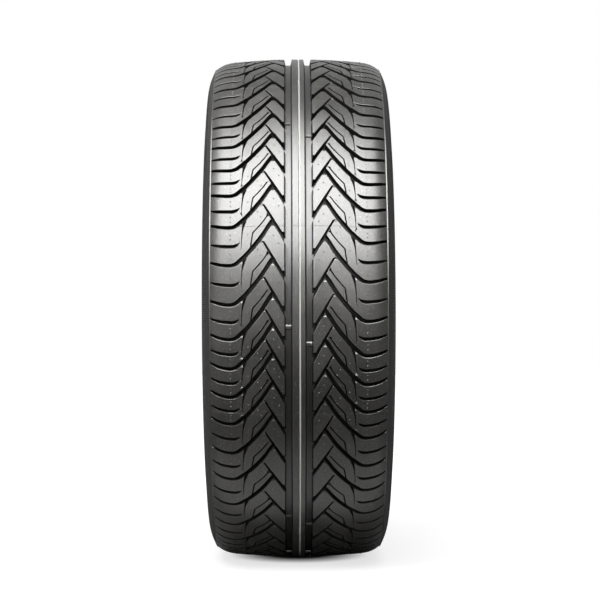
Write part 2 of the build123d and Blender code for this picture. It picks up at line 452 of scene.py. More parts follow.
def pitch_lines(pitch, cuts):
    """Every line that must appear as an edge in one pitch of the map."""
    below = np.array([0, -pitch])
    lines = [border, border + below]
    lines += cut_lines(cuts["channel"], channel_section[0], LEFT)
    for path in (main_path, arrow_lower):
        lines += section_lines(path + below, half_widths(path, CHANNEL_WIDTHS), sharp_section[0], RIGHT)
    lines += cut_lines(cuts["apex"], [0], LEFT)
    lines += cut_lines(cuts["spur"], slot_section[0], BOTH, with_path=True)
    lines += cut_lines(cuts["slot"], slot_section[0], BOTH)
    lines += cut_lines(cuts["claw"], [0], BOTH, with_path=True)
    lines += cut_lines(cuts["sipe"], [0], BOTH, with_path=True)
    lines += cut_lines(cuts["blunt tip"], sharp_section[0], LEFT)
    span = np.array([[0, JUNCTION[1]], [0, -2 * pitch]])
    lines += [span + [RING_GROOVE_EDGE + BEVEL / 2 - inset, 0] for inset in ring_section[0]]
    for corner, way, back, reach in corner_facets(cuts):
        foot, level = corner - back * way, np.array([way[1], -way[0]])
        lines.append(np.array([foot - reach * level, foot + reach * level]))
    return lines


line_count = len(pitch_lines(SHORTEST_PITCH, pitch_cuts(SHORTEST_PITCH)))
print(f"{line_count} lines must be edges in each pitch")

# %% [markdown]
# Between the lines the blocks curve gently round the axle, so they need some points of their own. A
# staggered grid gives even triangles. It keeps clear of the cuts, because a point just beside a line would
# make slivers. The vent stubs and the two rims of the map get points too.

# %% Points between the lines
BLOCK_STEP = 6.5
EDGE_CLEARANCE = 1.3
MAP_TOP = 80.0
VENT_SIDES = 6
RIM_STEPS = 8


def block_points(pitch, cuts):
    """Points on the block tops, on a staggered grid that keeps clear of every cut, vent and border."""
    across = np.arange(INNER_EDGE + BLOCK_STEP / 2, TREAD_EDGE, BLOCK_STEP)
    along = np.arange(-pitch, MAP_TOP, BLOCK_STEP)
    grid = np.stack(np.meshgrid(across, along, indexing="ij"), axis=-1)
    grid[::2, :, 1] += BLOCK_STEP / 2
    grid = grid.reshape(-1, 2)
    close = np.max([closeness(grid, path, half) for path, half, section in cuts.values()], axis=0)
    close = np.maximum(close, RING_GROOVE_EDGE - grid[:, 0])
    close = np.maximum(close, EDGE_CLEARANCE - (TREAD_EDGE - grid[:, 0]))
    from_vent = np.linalg.norm(grid[:, None] - vents(pitch), axis=2).min(axis=1)
    return grid[(close < -EDGE_CLEARANCE) & (from_vent > 2 * VENT_RADIUS)]


def loose_points(pitch, cuts):
    """Points that no line joins: the block grid, a ring and a middle for each vent, and rows on the rims."""
    turns = np.linspace(0, FULL_TURN, VENT_SIDES + 1)[:-1]
    ring = np.column_stack([np.cos(turns), np.sin(turns)]) * VENT_RADIUS
    stubs = (vents(pitch)[:, None] + np.vstack([ring, [[0, 0]]])).reshape(-1, 2)
    rows = np.linspace(0, 1, RIM_STEPS + 1)[1:-1, None] * [0, -pitch]
    rims = [[edge, channel_height(edge)] + rows for edge in (TREAD_EDGE, INNER_EDGE)]
    return np.vstack([block_points(pitch, cuts), stubs] + rims)


loose_count = len(loose_points(SHORTEST_PITCH, pitch_cuts(SHORTEST_PITCH)))
print(f"{loose_count} points stand between the lines of the shortest pitch and around it")

# %% [markdown]
# Blender has a tool for this kind of map, the constrained Delaunay triangulation: it takes points, and
# lines that must appear as edges, and it adds a point wherever two lines cross. Only what lies between the
# two channels is kept. The points on the four borders are noted, in order, for joining.

# %% Triangulate each length of pitch
MERGE = 1e-4
ON_LINE = 2e-3


def triangulated(lines, loose):
    """Vertices and triangles of the map, with an edge between each two neighbouring points of a line."""
    counts = np.array([len(line) for line in lines])
    firsts = np.r_[0, np.cumsum(counts)[:-1]]
    edges = np.vstack([np.column_stack([first + np.arange(n - 1), first + np.arange(1, n)])
                       for first, n in zip(firsts, counts) if n > 1])
    points = np.vstack(lines + [loose])
    made = delaunay_2d_cdt(points.tolist(), edges.tolist(), [], 0, MERGE)
    return np.array(made[0]), np.array(made[2])


def pitch_map(pitch):
    """Vertices (across, along), triangles, depths and the vertex rows on the four borders of one pitch."""
    cuts = pitch_cuts(pitch)
    verts, faces = triangulated(pitch_lines(pitch, cuts), loose_points(pitch, cuts))
    centre = verts[faces].mean(axis=1)
    drop = channel_height(centre[:, 0]) - centre[:, 1]
    inside = (drop > 0) & (drop < pitch) & (centre[:, 0] > INNER_EDGE) & (centre[:, 0] < TREAD_EDGE)
    used, faces = np.unique(faces[inside], return_inverse=True)
    verts, faces = verts[used], faces.reshape(-1, 3)

    drop = channel_height(verts[:, 0]) - verts[:, 1]
    upper = np.flatnonzero(np.abs(drop) < ON_LINE)
    lower = np.flatnonzero(np.abs(drop - pitch) < ON_LINE)
    rims = [np.flatnonzero(np.abs(verts[:, 0] - edge) < ON_LINE) for edge in (INNER_EDGE, TREAD_EDGE)]
    return {
        "verts": verts,
        "faces": faces,
        "depth": depth_at(verts, pitch, cuts),
        "upper": upper[np.argsort(verts[upper, 0])],
        "lower": lower[np.argsort(verts[lower, 0])],
        "rims": [rim[np.argsort(-verts[rim, 1])] for rim in rims],
    }


maps = {letter: pitch_map(angle * outer_radius) for letter, angle in pitch_angles.items()}
for letter, unit in maps.items():
    print(f"pitch {letter}: {len(unit['faces'])} triangles, {len(unit['upper'])} border points")

# %% [markdown]
# The maps are rolled up one below the next and share their border points, so the tread has no seams. An
# array modifier could repeat one pitch, but not three lengths in an uneven order. The right half mirrors
# the left and lags a little behind it, which makes the tyre quieter still.

# %% Roll up the two halves of the tread
FIRST_GROOVE = math.radians(50.3)
SIDE_LAG = math.radians(3.5)


def tread_half(side):
    """One half of the tread: vertices, triangles, depths, and its inner and outer rims as (vertex rows,
    angles). The shared border points come first, pitch by pitch, and then each pitch's own points."""
    count, shared = len(PITCH_ORDER), len(maps["S"]["upper"])
    border_places, border_depths, own_places, own_depths, faces = [], [], [], [], []
    rims, rim_angles = ([], []), ([], [])
    total = count * shared
    top = FIRST_GROOVE - (SIDE_LAG if side < 0 else 0)
    for k, letter in enumerate(PITCH_ORDER):
        unit = maps[letter]
        angle = top + unit["verts"][:, 1] / outer_radius
        radius = crown_radius(unit["verts"][:, 0]) - unit["depth"]
        points = roll_up(side * unit["verts"][:, 0], angle, radius)
        rows = np.full(len(points), -1)
        rows[unit["upper"]] = k * shared + np.arange(shared)
        rows[unit["lower"]] = (k + 1) % count * shared + np.arange(shared)
        own = np.flatnonzero(rows < 0)
        rows[own] = total + np.arange(len(own))
        total += len(own)
        border_places.append(points[unit["upper"]])
        border_depths.append(unit["depth"][unit["upper"]])
        own_places.append(points[own])
        own_depths.append(unit["depth"][own])
        faces.append(rows[unit["faces"]])
        for which, rim in enumerate(unit["rims"]):
            rims[which].append(rows[rim[:-1]])
            rim_angles[which].append(angle[rim[:-1]])
        top -= pitch_angles[letter]
    rims = [(np.concatenate(r), np.concatenate(a)) for r, a in zip(rims, rim_angles)]
    verts = np.vstack(border_places + own_places)
    return verts, np.vstack(faces), np.concatenate(border_depths + own_depths), rims


left_tread, right_tread = tread_half(1), tread_half(-1)
print(f"each half of the tread has {len(left_tread[1])} triangles")

# %% [markdown]
# Everything else on a tyre is the same all the way round, so it is a profile carried round the axle. The
# centre rib has a narrow groove along its middle, steep on one side and slanting on the other. The casing
# starts at a small ledge at one tread edge, goes down that sidewall, over the rib that guards the rim,
# round the bead, up the liner, across inside the tread and back out by the other sidewall. A Screw modifier
# could carry them round too, but arrays let the next steps zip the rings to the tread.

# %% Profiles of the centre rib and the casing
RIB_HALF = 7.6
RIB_FOOT = 9.5
LINE_STEEP = 0.3
LINE_BOTTOM = -0.2
LINE_WIDTH = 2.2
LINE_DEPTH = 1.1
RIB_MIDDLES = (4.0, -4.5)

# Profiles are (across, radius). The ledge's round and the sidewall's top give a drop below the tread edge
# in place of a radius.
LEDGE = 1.3
LEDGE_ROUND = (0.3, 0.5)
SIDEWALL_TOP = (110.7, 1.2)
SIDEWALL_CURVE = [(113.4, 319.5), (116.6, 311.5), (118.7, 303.0), (119.4, 294.0), (119.2, 284.0),
                  (118.6, 278.6)]
RIM_GUARD = [(120.2, 277.6), (120.8, 276.8), (widest, 275.6), (120.8, 274.0), (120.0, 272.8), (117.6, 271.8)]
BEAD_FLANK = [(117.0, 271.6), (111.5, 269.3), (107.3, 266.6), (105.0, 262.5), (103.4, 259.0)]
BEAD_SEAT = [(102.6, 257.7), (101.6, 256.8), (heel, bead_radius), (94.0, bead_radius), (89.0, bead_radius)]
BEAD_TOE = [(88.2, 256.7), (88.0, 257.4)]
LINER_PATH = [(89.2, 259.4), (97.0, 267.0), (104.5, 275.0), (110.6, 285.0), (112.0, 293.0), (110.4, 302.0),
              (105.0, 311.5), (95.0, 318.8), (82.0, 321.2), (45.0, 321.5), (0.0, 321.5)]


def rib_profile():
    """Rib from the left ring groove's floor to the right one's, with the narrow line near its middle."""
    floor, top = outer_radius - RING_DEPTH, outer_radius
    left = [(RIB_FOOT, floor), (RIB_HALF + BEVEL / 2, top - BEVEL_DROP), (RIB_HALF - BEVEL / 2, top)]
    line = [(LINE_STEEP, top), (LINE_BOTTOM, top - LINE_DEPTH), (LINE_BOTTOM - LINE_WIDTH, top)]
    right = [(-across, radius) for across, radius in reversed(left)]
    return np.array(left + [(RIB_MIDDLES[0], top)] + line + [(RIB_MIDDLES[1], top)] + right)


def sidewall_profile():
    """One sidewall from the tread edge down to the toe of the bead."""
    edge = crown_radius(TREAD_EDGE)
    outer = TREAD_EDGE + LEDGE
    ledge = [(outer, edge), (outer + LEDGE_ROUND[0], edge - LEDGE_ROUND[1])]
    upper = smooth_path([(SIDEWALL_TOP[0], edge - SIDEWALL_TOP[1])] + SIDEWALL_CURVE, samples=3)
    flank = smooth_path(BEAD_FLANK, samples=2)
    return np.vstack([ledge, upper, RIM_GUARD, flank, BEAD_SEAT, BEAD_TOE])


rib_line, sidewall_line = rib_profile(), sidewall_profile()
half_casing = np.vstack([sidewall_line, smooth_path(LINER_PATH, samples=2)])
casing_line = np.vstack([half_casing, half_casing[-2::-1] * [-1, 1]])
print(f"rib profile of {len(rib_line)} points, casing profile of {len(casing_line)}")

# %% [markdown]
# Carrying a profile round is a table of points: one row for each profile point, one column for each step
# round the axle. Four neighbours in the table make a quad. Where the rib or the casing meets the tread, the
# points stand at different angles, so a row of triangles zips the two rings together. Merging points by
# distance could join them too, but it would move points and leave gaps.

# %% Carry the profiles round and zip rings together
RIB_STEPS = 360
CASING_STEPS = 256


def revolved(profile, steps):
    """Profile carried round the axle in equal steps: the vertices row by row, the rows' vertex numbers,
    and the angles."""
    angle = np.linspace(0, FULL_TURN, steps, endpoint=False)
    across = np.repeat(profile[:, 0], steps)
    radius = np.repeat(profile[:, 1], steps)
    verts = roll_up(across, np.tile(angle, len(profile)), radius)
    return verts, np.arange(len(verts)).reshape(len(profile), steps), angle


def ring_quads(rows):
    """Quads between neighbouring rows of vertices, closed round the ring."""
    following = np.roll(rows, -1, axis=1)
    quads = np.stack([rows[:-1], rows[1:], following[1:], following[:-1]], axis=-1)
    return quads.reshape(-1, 4)


def zipped(rows_a, angle_a, rows_b, angle_b):
    """Triangles between two rings whose points stand at different angles. Each point makes one triangle,
    with the point before it on its own ring and the last point passed on the other ring."""
    order_a, order_b = np.argsort(angle_a % FULL_TURN), np.argsort(angle_b % FULL_TURN)
    rows_a, angle_a = rows_a[order_a], (angle_a % FULL_TURN)[order_a]
    rows_b, angle_b = rows_b[order_b], (angle_b % FULL_TURN)[order_b]
    passed_b = np.searchsorted(angle_b, angle_a, side="right") - 1
    passed_a = np.searchsorted(angle_a, angle_b, side="left") - 1
    from_a = np.column_stack([np.roll(rows_a, 1), rows_a, rows_b[passed_b]])
    from_b = np.column_stack([rows_b, np.roll(rows_b, 1), rows_a[passed_a]])
    return np.vstack([from_a, from_b])


rib_verts, rib_rows, rib_angle = revolved(rib_line, RIB_STEPS)
casing_verts, casing_rows, casing_angle = revolved(casing_line, CASING_STEPS)

starts = np.cumsum([0, len(left_tread[0]), len(right_tread[0]), len(rib_verts)])
rib_rows = rib_rows + starts[2]
casing_rows = casing_rows + starts[3]
zips = []
for tread, start, rib_row, casing_row in ((left_tread, starts[0], rib_rows[0], casing_rows[0]),
                                          (right_tread, starts[1], rib_rows[-1], casing_rows[-1])):
    (inner, inner_angle), (outer, outer_angle) = tread[3]
    zips.append(zipped(inner + start, inner_angle, rib_row, rib_angle))
    zips.append(zipped(outer + start, outer_angle, casing_row, casing_angle))
print(f"{sum(map(len, zips))} triangles zip the rib and the casing to the tread")

# %% [markdown]
# All the surfaces now become one closed skin, as the real tyre is one moulding. Each face gets one of four
# finishes, and faces that lie deep in a groove get the duller, darker one, whose colour is painted shade.
# The mesh also carries one number for each point, the depth of the tread there, which the tread's finish
# reads later. Faces meet smoothly, except along edges that turn by more than a set angle, which stay crisp:
# a Bevel modifier on every edge would cost far too many faces.

# %% Join the surfaces into one skin
CRISP_ANGLE = math.radians(18)
# The last slot is the grooves' finish, whose darker colour is painted shade.
TREAD, SIDEWALLS, LINER, SHADED_GROOVES = 0, 1, 2, 3
GROOVE_FROM = 1.0


def turn_outwards(mesh):
    """Turn every face of a closed mesh to point out of it."""
    work = bmesh.new()
    work.from_mesh(mesh)
    bmesh.ops.recalc_face_normals(work, faces=work.faces)
    work.to_mesh(mesh)
    work.free()


def new_object(name, data):
    """An object for a mesh, a lamp or a camera, linked into the scene."""
    made = bpy.data.objects.new(name, data)
    bpy.context.scene.collection.objects.link(made)
    return made


def open_edges(mesh):
    """How many edges have other than two faces: the corners of all faces are counted edge by edge."""
    edge_of_corner = np.empty(len(mesh.loops), np.int32)
    mesh.loops.foreach_get("edge_index", edge_of_corner)
    return np.count_nonzero(np.bincount(edge_of_corner, minlength=len(mesh.edges)) != 2)


verts = np.vstack([left_tread[0], right_tread[0], rib_verts, casing_verts])
tread_faces = np.vstack([left_tread[1], right_tread[1] + starts[1]])
triangles = np.vstack([tread_faces] + zips)
quads = np.vstack([ring_quads(rib_rows), ring_quads(casing_rows)])
rib_depth = outer_radius - np.repeat(rib_line[:, 1], RIB_STEPS)
depths = np.concatenate([left_tread[2], right_tread[2], rib_depth, np.zeros(len(casing_verts))])

# Faces deep in a groove, outside the ring grooves, take the finish with painted shade.
deep = depths[tread_faces].mean(axis=1) > GROOVE_FROM
past_ring = np.abs(verts[tread_faces, 1]).max(axis=1) > RING_GROOVE_EDGE * MILLIMETRE + MERGE
casing_slots = np.full(len(casing_line) - 1, SIDEWALLS)
casing_slots[len(sidewall_line):-len(sidewall_line)] = LINER
around_rib = len(triangles) - len(tread_faces) + (len(rib_line) - 1) * RIB_STEPS
slots = np.concatenate([np.where(deep & past_ring, SHADED_GROOVES, TREAD), np.full(around_rib, TREAD),
                        np.repeat(casing_slots, CASING_STEPS)])

mesh = bpy.data.meshes.new("tyre_rubber")
mesh.from_pydata(verts, [], triangles.tolist() + quads.tolist())
mesh.polygons.foreach_set("material_index", slots.astype(np.int32))
mesh.polygons.foreach_set("use_smooth", np.ones(len(slots), bool))
tread_depth = mesh.attributes.new("tread_depth", "FLOAT", "POINT")
tread_depth.data.foreach_set("value", depths.astype(np.float32))
turn_outwards(mesh)
mesh.set_sharp_from_angle(angle=CRISP_ANGLE)
tyre = new_object("tyre_skin", mesh)
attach(tyre, "root")
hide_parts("tyre")
print(f"tyre skin: {len(triangles) + 2 * len(quads)} triangles, {open_edges(mesh)} open edges")

# %% [markdown]
# Cured rubber is a very dark grey with a satin gloss. It is never even: the mould and its release agent
# leave cloudy patches, and dust settles on it in flecks. Both are the peaks of a noise, so one function
# makes both node groups. A group is built once and placed in each finish with its own scale, which is
# easier to keep alike than copies of the same nodes. Every group reads the object's own coordinates, in
# metres.

# %% Cloudy patches and dust flecks as node groups
# Limits are the noise values that become 0 and 1.
BLOOM_DETAIL, BLOOM_ROUGHNESS, BLOOM_LIMITS = 4.0, 0.55, (0.35, 0.65)
DUST_DETAIL, DUST_ROUGHNESS, DUST_LIMITS = 3.0, 0.5, (0.56, 0.76)
SCALED_INPUTS = {"Coordinates": "NodeSocketVector", "Scale": "NodeSocketFloat"}


def node_group(name, inputs, outputs):
    """An empty shader node group with named sockets, and its input and output nodes."""
    group = bpy.data.node_groups.new(name, "ShaderNodeTree")
    for socket, kind in inputs.items():
        group.interface.new_socket(socket, in_out="INPUT", socket_type=kind)
    for socket in outputs:
        group.interface.new_socket(socket, in_out="OUTPUT", socket_type="NodeSocketFloat")
    return group, group.nodes.new("NodeGroupInput").outputs, group.nodes.new("NodeGroupOutput").inputs


def add_node(tree, kind, links=(), **settings):
    """A node with its settings, and with the given sockets linked or filled in."""
    node = tree.nodes.new(kind)
    for setting, value in settings.items():
        setattr(node, setting, value)
    for socket, value in links:
        if isinstance(value, bpy.types.NodeSocket):
            tree.links.new(value, node.inputs[socket])
        else:
            node.inputs[socket].default_value = value
    return node


def noise(tree, vector, scale, detail, roughness=0.5):
    """The value of a noise texture."""
    links = [("Vector", vector), ("Scale", scale), ("Detail", detail), ("Roughness", roughness)]
    return add_node(tree, "ShaderNodeTexNoise", links).outputs["Fac"]


def ranged(tree, value, low, high, to_low=0.0, to_high=1.0):
    """A value carried from one range to another and held inside it."""
    links = [("Value", value), ("From Min", low), ("From Max", high)]
    links += [("To Min", to_low), ("To Max", to_high)]
    return add_node(tree, "ShaderNodeMapRange", links).outputs["Result"]


def noise_mask(name, detail, roughness, limits):
    """A group that puts out a noise, stretched between its limits and held between 0 and 1."""
    group, given, result = node_group(name, SCALED_INPUTS, ["Mask"])
    cloud = noise(group, given["Coordinates"], given["Scale"], detail, roughness)
    group.links.new(ranged(group, cloud, *limits), result["Mask"])
    return group


bloom = noise_mask("rubber bloom", BLOOM_DETAIL, BLOOM_ROUGHNESS, BLOOM_LIMITS)
dust = noise_mask("dust flecks", DUST_DETAIL, DUST_ROUGHNESS, DUST_LIMITS)
print("groups:", bloom.name, "and", dust.name)

# %% [markdown]
# Two more groups serve every finish. The mould's surface leaves a fine grain, used as a height. And much on
# a tyre follows the wheel, such as turned rings, teeth and ribs, so one group turns a place into an angle,
# a radius and a distance across. A UV map could hold these as well, but then it would need a seam.

# %% Grain and axle coordinates as node groups
GRAIN_DETAIL = 2.0


def math_node(tree, operation, *values):
    """The result of one arithmetic step on values or sockets."""
    return add_node(tree, "ShaderNodeMath", enumerate(values), operation=operation).outputs[0]


def make_grain():
    """Fine moulded grain, as a height: a small noise with two finer layers on it."""
    group, given, result = node_group("moulded grain", SCALED_INPUTS, ["Height"])
    height = noise(group, given["Coordinates"], given["Scale"], GRAIN_DETAIL)
    group.links.new(height, result["Height"])
    return group


def make_axle_coordinates():
    """Place round the axle: angle up from the rear in radians, radius and distance across in metres."""
    inputs, outputs = {"Coordinates": "NodeSocketVector"}, ["Angle", "Radius", "Across"]
    group, given, result = node_group("axle coordinates", inputs, outputs)
    x, y, z = add_node(group, "ShaderNodeSeparateXYZ", [("Vector", given["Coordinates"])]).outputs
    angle = math_node(group, "ARCTAN2", z, math_node(group, "MULTIPLY", x, -1.0))
    flat = add_node(group, "ShaderNodeCombineXYZ", [("X", x), ("Z", z)]).outputs["Vector"]
    radius = add_node(group, "ShaderNodeVectorMath", [(0, flat)], operation="LENGTH").outputs["Value"]
    for socket, value in zip(outputs, (angle, radius, y)):
        group.links.new(value, result[socket])
    return group


grain, axle_coordinates = make_grain(), make_axle_coordinates()
print("groups:", grain.name, "and", axle_coordinates.name)

# %% [markdown]
# Every finish starts from the same shader, with the low mirror level of rubber, and uses the groups, a mix
# of two colours and layers of bump. Small helpers keep each finish short enough to read as a recipe.

# %% A bare rubber material and what its recipes use
RUBBER_SPECULAR = 0.25
# A Mix node has sockets of one name for numbers, vectors and colours. These are the numbers of the colours'.
MIX_FIRST, MIX_SECOND, MIX_RESULT = 6, 7, 2


def new_material(name):
    """A material, its tree, its Principled shader's inputs and the object's coordinates."""
    material = bpy.data.materials.new(name)
    material.use_nodes = True
    tree = material.node_tree
    shader = tree.nodes["Principled BSDF"].inputs
    shader["Specular IOR Level"].default_value = RUBBER_SPECULAR
    coordinates = tree.nodes.new("ShaderNodeTexCoord").outputs["Object"]
    return material, tree, shader, coordinates


def use_group(tree, group, coordinates, **values):
    """The outputs of one use of a shared group, with its own values."""
    links = [("Coordinates", coordinates), *values.items()]
    return add_node(tree, "ShaderNodeGroup", links, node_tree=group).outputs


def mixed(tree, factor, first, second):
    """Colour between two colours or sockets, by a mask."""
    links = [("Factor", factor), (MIX_FIRST, first), (MIX_SECOND, second)]
    return add_node(tree, "ShaderNodeMix", links, data_type="RGBA").outputs[MIX_RESULT]


def bumped(tree, height, distance, under=None):
    """A normal from a height, where 1 stands for a distance in metres, on top of another bump if given."""
    links = [("Height", height), ("Distance", distance), ("Strength", 1.0)]
    if under is not None:
        links.append(("Normal", under))
    return add_node(tree, "ShaderNodeBump", links).outputs["Normal"]


print("mirror level of the rubber:", RUBBER_SPECULAR)

# %% [markdown]
# The tread's colour is cloudy, with flecks of dust, and is painted darker by depth, most of all down the
# walls
# of the ring grooves: painted shade, where the light of a real room hardly reaches. A thin pale line runs
# along the slanting side of the rib's middle groove. Tool marks from turning the mould run round the tread
# as faint streaks, so a noise is stretched along the angle. Every fortieth degree a hair line crosses the
# blocks, where two segments of the mould met. These are far too fine for the mesh, so they are bump.

# %% Rubber of the tread
TREAD_DARK = (0.0105, 0.0101, 0.0088, 1)
TREAD_PALE = (0.0250, 0.0241, 0.0213, 1)
TREAD_ROUGHNESS = (0.33, 0.44)
TREAD_BLOOM = 14.0
DUST = (0.052, 0.050, 0.045, 1)
DUST_SCALE = 380.0
SHADE_BLACK = (0.002, 0.002, 0.002, 1)
SHADE_DEPTHS = (0.5, 5.0)
PALE_LINE = (0.46, 0.46, 0.448, 1)
PALE_MIDDLE, PALE_HALF, PALE_BELOW = -0.0013, 0.0010, 0.002
STREAKS_ACROSS, STREAKS_ROUND, STREAK_DETAIL = 420.0, 5.0, 2.0
BLOOM_GLOSS, STREAK_GLOSS = 0.06, 0.10
STREAK_HEIGHT = 0.00006
TREAD_GRAIN, TREAD_GRAIN_HEIGHT = 900.0, 0.00008
BLOCK_TOP_DEPTHS = (0.3, 2.5)
SEGMENT = math.radians(40)
FIRST_SEGMENT = math.radians(17.5)
SEGMENT_LINE, SEGMENT_HEIGHT = 0.0006, 0.00018


def tread_colour(tree, coordinates, axle, patches, depth):
    """Cloudy black with dust, with painted shade that darkens it by depth, and pale where both the place
    across and the radius are those of the rib's line."""
    flecks = use_group(tree, dust, coordinates, Scale=DUST_SCALE)["Mask"]
    colour = mixed(tree, patches, TREAD_DARK, TREAD_PALE)
    colour = mixed(tree, flecks, colour, DUST)
    # Painted shade: the colour darkens towards black with the tread's depth.
    colour = mixed(tree, ranged(tree, depth, *SHADE_DEPTHS), colour, SHADE_BLACK)
    in_line = math_node(tree, "COMPARE", axle["Across"], PALE_MIDDLE, PALE_HALF)
    on_rib = math_node(tree, "GREATER_THAN", axle["Radius"], cad_high.z - PALE_BELOW)
    return mixed(tree, math_node(tree, "MULTIPLY", in_line, on_rib), colour, PALE_LINE)


def tread_relief(tree, coordinates, axle, streaks, depth):
    """Normal from three layers of bump: streaks, grain, and segment lines that fade with the distance along
    the tread from every fortieth degree and stay on top of the blocks."""
    turned = math_node(tree, "SUBTRACT", axle["Angle"], FIRST_SEGMENT)
    from_line = math_node(tree, "PINGPONG", turned, SEGMENT / 2)
    away = math_node(tree, "MULTIPLY", from_line, axle["Radius"])
    line = ranged(tree, away, 0.0, SEGMENT_LINE, 1.0, 0.0)
    on_top = ranged(tree, depth, *BLOCK_TOP_DEPTHS, 1.0, 0.0)
    height = use_group(tree, grain, coordinates, Scale=TREAD_GRAIN)["Height"]
    normal = bumped(tree, streaks, STREAK_HEIGHT)
    normal = bumped(tree, height, TREAD_GRAIN_HEIGHT, normal)
    return bumped(tree, math_node(tree, "MULTIPLY", line, on_top), SEGMENT_HEIGHT, normal)


def tread_rubber():
    """Satin black whose roughness follows the cloudy patches and the streaks."""
    material, tree, shader, coordinates = new_material("tread rubber")
    patches = use_group(tree, bloom, coordinates, Scale=TREAD_BLOOM)["Mask"]
    axle = use_group(tree, axle_coordinates, coordinates)
    depth = add_node(tree, "ShaderNodeAttribute", attribute_name="tread_depth").outputs["Fac"]
    stretched = add_node(tree, "ShaderNodeCombineXYZ", [
        ("X", math_node(tree, "MULTIPLY", axle["Across"], STREAKS_ACROSS)),
        ("Y", math_node(tree, "MULTIPLY", axle["Angle"], STREAKS_ROUND)),
    ]).outputs["Vector"]
    streaks = noise(tree, stretched, 1.0, STREAK_DETAIL)
    gloss = math_node(tree, "ADD", math_node(tree, "MULTIPLY", patches, BLOOM_GLOSS),
                      math_node(tree, "MULTIPLY", streaks, STREAK_GLOSS))
    roughness = ranged(tree, gloss, 0.0, BLOOM_GLOSS + STREAK_GLOSS, *TREAD_ROUGHNESS)
    tree.links.new(tread_colour(tree, coordinates, axle, patches, depth), shader["Base Color"])
    tree.links.new(roughness, shader["Roughness"])
    tree.links.new(tread_relief(tree, coordinates, axle, streaks, depth), shader["Normal"])
    return material


mesh.materials.append(tread_rubber())
print("finish of the tread:", mesh.materials[TREAD].name)

# %% [markdown]
# Sidewalls are duller than the tread. A mould for them is turned on a lathe, so they carry fine rings, and
# high on the shoulder there is a band of fine radial teeth, which hides the flow marks of the rubber. Both
# are sine waves, one over the radius and one over the angle.

# %% Rubber of the sidewalls
SIDE_DARK = (0.018, 0.018, 0.0176, 1)
SIDE_PALE = (0.027, 0.0267, 0.0261, 1)
SIDE_ROUGHNESS = (0.66, 0.80)
SIDE_SPECULAR = 0.06
SIDE_BLOOM = 9.0
RINGS, RING_HEIGHT = 4200.0, 0.00003
TEETH, TOOTH_HEIGHT = 700.0, 0.0006
TOOTH_BAND = (0.297, 0.315)
SIDE_GRAIN, SIDE_GRAIN_HEIGHT = 700.0, 0.0001


def wave(tree, value, per_unit):
    """The sine of a value times radians per unit."""
    return math_node(tree, "SINE", math_node(tree, "MULTIPLY", value, per_unit))


def cloudy_finish(name, scale, dark, pale, roughness):
    """A material whose colour and roughness both follow the cloudy patches."""
    material, tree, shader, coordinates = new_material(name)
    patches = use_group(tree, bloom, coordinates, Scale=scale)["Mask"]
    tree.links.new(mixed(tree, patches, dark, pale), shader["Base Color"])
    tree.links.new(ranged(tree, patches, 0.0, 1.0, *roughness), shader["Roughness"])
    return material, tree, shader, coordinates


def sidewall_rubber():
    """Dull black with turned rings and a band of radial teeth below the shoulder."""
    finish = cloudy_finish("sidewall rubber", SIDE_BLOOM, SIDE_DARK, SIDE_PALE, SIDE_ROUGHNESS)
    material, tree, shader, coordinates = finish
    shader["Specular IOR Level"].default_value = SIDE_SPECULAR
    axle = use_group(tree, axle_coordinates, coordinates)
    low, high = TOOTH_BAND
    in_band = math_node(tree, "COMPARE", axle["Radius"], (low + high) / 2, (high - low) / 2)
    teeth = math_node(tree, "MULTIPLY", wave(tree, axle["Angle"], TEETH), in_band)
    height = use_group(tree, grain, coordinates, Scale=SIDE_GRAIN)["Height"]
    normal = bumped(tree, wave(tree, axle["Radius"], RINGS), RING_HEIGHT)
    normal = bumped(tree, teeth, TOOTH_HEIGHT, normal)
    tree.links.new(bumped(tree, height, SIDE_GRAIN_HEIGHT, normal), shader["Normal"])
    return material


mesh.materials.append(sidewall_rubber())
print("finish of the sidewalls:", mesh.materials[SIDEWALLS].name)

# %% [markdown]
# The liner inside is pressed by a ribbed rubber bag while the tyre cures, and comes out matt with shallow
# slanting ribs. A wave over the angle and the distance across together gives the slant.

# %% Rubber of the liner
LINER_DARK = (0.016, 0.016, 0.016, 1)
LINER_PALE = (0.030, 0.030, 0.0295, 1)
LINER_ROUGHNESS = (0.62, 0.75)
LINER_BLOOM = 7.0
BAG_RIBS_ROUND, BAG_RIBS_ACROSS, BAG_RIB_HEIGHT = 150.0, 260.0, 0.0003
LINER_GRAIN, LINER_GRAIN_HEIGHT = 500.0, 0.00015


def liner_rubber():
    """Matt dark grey with shallow slanting ribs: the sine of angle and distance across, added up."""
    finish = cloudy_finish("liner rubber", LINER_BLOOM, LINER_DARK, LINER_PALE, LINER_ROUGHNESS)
    material, tree, shader, coordinates = finish
    axle = use_group(tree, axle_coordinates, coordinates)
    slant = math_node(tree, "ADD", math_node(tree, "MULTIPLY", axle["Angle"], BAG_RIBS_ROUND),
                      math_node(tree, "MULTIPLY", axle["Across"], BAG_RIBS_ACROSS))
    height = use_group(tree, grain, coordinates, Scale=LINER_GRAIN)["Height"]
    normal = bumped(tree, math_node(tree, "SINE", slant), BAG_RIB_HEIGHT)
    tree.links.new(bumped(tree, height, LINER_GRAIN_HEIGHT, normal), shader["Normal"])
    return material


mesh.materials.append(liner_rubber())
print("finish of the liner:", mesh.materials[LINER].name)

# %% [markdown]
# Down in the grooves light hardly reaches, so their faces get a darker, duller copy of the tread's finish,
# whose darker colour and low mirror level are painted shade. Mixing that into the tread's finish by depth
# would blur the edge of each block, so the grooves have a finish of their own, face by face.

# %% Rubber inside the grooves, in painted shade
# Both colours are darker than the tread's: painted shade for light that hardly reaches the grooves.
SHADED_GROOVE_BLACK = (0.0085, 0.0082, 0.0074, 1)
SHADED_GROOVE_PALE = (0.0120, 0.0117, 0.0106, 1)
GROOVE_ROUGHNESS = (0.60, 0.50)
GROOVE_SPECULAR = 0.04
GROOVE_BLOOM = 18.0


